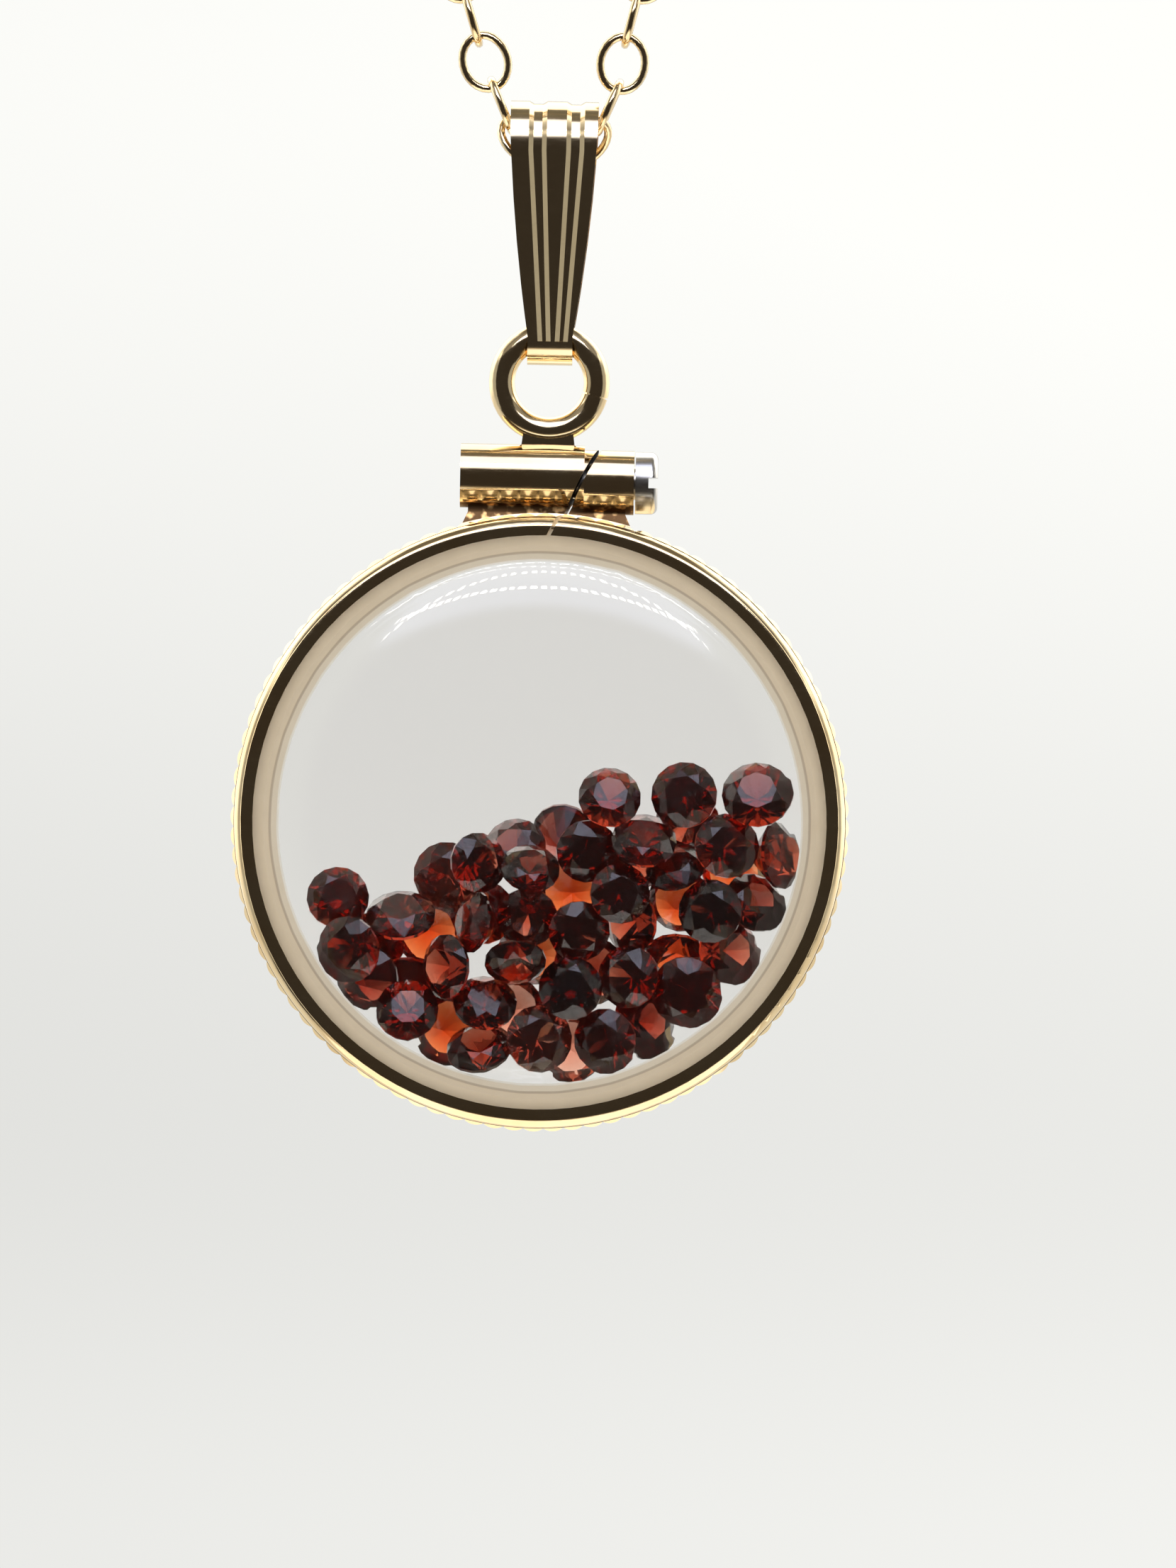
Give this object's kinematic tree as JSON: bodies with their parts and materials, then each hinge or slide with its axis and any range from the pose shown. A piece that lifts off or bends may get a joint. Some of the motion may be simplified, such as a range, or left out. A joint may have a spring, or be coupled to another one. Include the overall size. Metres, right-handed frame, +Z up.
{
  "type": "shaker locket necklace",
  "caption": "Round glass shaker locket filled with loose faceted dark red garnets, in a coin-edge screw bezel on a fluted folded bail and a fine oval cable chain.",
  "frame": {"origin": "at the nape, on the lowest point of the closure's underside, where the necklace hangs", "axes": "+X to the locket's right seen from the front, -Y out of the locket's front, +Z up"},
  "size_m": [0.0876, 0.0056, 0.231],
  "materials": {
    "gold_chain": "polished",
    "gold_bail": "polished",
    "gold_bezel": "polished",
    "steel": "polished",
    "crystal": "polished",
    "champagne": "satin",
    "garnet": "polished"
  },
  "bodies": {
    "chain": {"chain_front": "gold_chain", "chain_back": "gold_chain", "chain_clasp": "gold_chain"},
    "bail": {"pinch_bail": "gold_bail"},
    "locket": {"bezel": "gold_bezel", "clasp_screw": "steel", "crystal_front": "crystal", "crystal_back": "crystal", "spacer_ring": "champagne", "garnet_01": "garnet", "garnet_02": "garnet", "garnet_03": "garnet", "garnet_04": "garnet", "garnet_05": "garnet", "garnet_06": "garnet", "garnet_07": "garnet", "garnet_08": "garnet", "garnet_09": "garnet", "garnet_10": "garnet", "garnet_11": "garnet", "garnet_12": "garnet", "garnet_13": "garnet", "garnet_14": "garnet", "garnet_15": "garnet", "garnet_16": "garnet", "garnet_17": "garnet", "garnet_18": "garnet", "garnet_19": "garnet", "garnet_20": "garnet", "garnet_21": "garnet", "garnet_22": "garnet", "garnet_23": "garnet", "garnet_24": "garnet", "garnet_25": "garnet", "garnet_26": "garnet", "garnet_27": "garnet", "garnet_28": "garnet", "garnet_29": "garnet", "garnet_30": "garnet", "garnet_31": "garnet", "garnet_32": "garnet", "garnet_33": "garnet", "garnet_34": "garnet", "garnet_35": "garnet", "garnet_36": "garnet", "garnet_37": "garnet", "garnet_38": "garnet", "garnet_39": "garnet", "garnet_40": "garnet", "garnet_41": "garnet", "garnet_42": "garnet", "garnet_43": "garnet", "garnet_44": "garnet", "garnet_45": "garnet", "garnet_46": "garnet", "garnet_47": "garnet", "garnet_48": "garnet", "garnet_49": "garnet", "garnet_50": "garnet", "garnet_51": "garnet"}
  },
  "joints": [
    {"name": "bail_swing", "type": "hinge", "parent": "chain", "child": "bail", "pos_m": [0, 0, -0.19656], "axis": [1, 0, 0], "range_deg": [-90, 90]},
    {"name": "locket_swing", "type": "hinge", "parent": "bail", "child": "locket", "pos_m": [0, 0, -0.20278], "axis": [1, 0, 0], "range_deg": [-90, 90]}
  ]
}
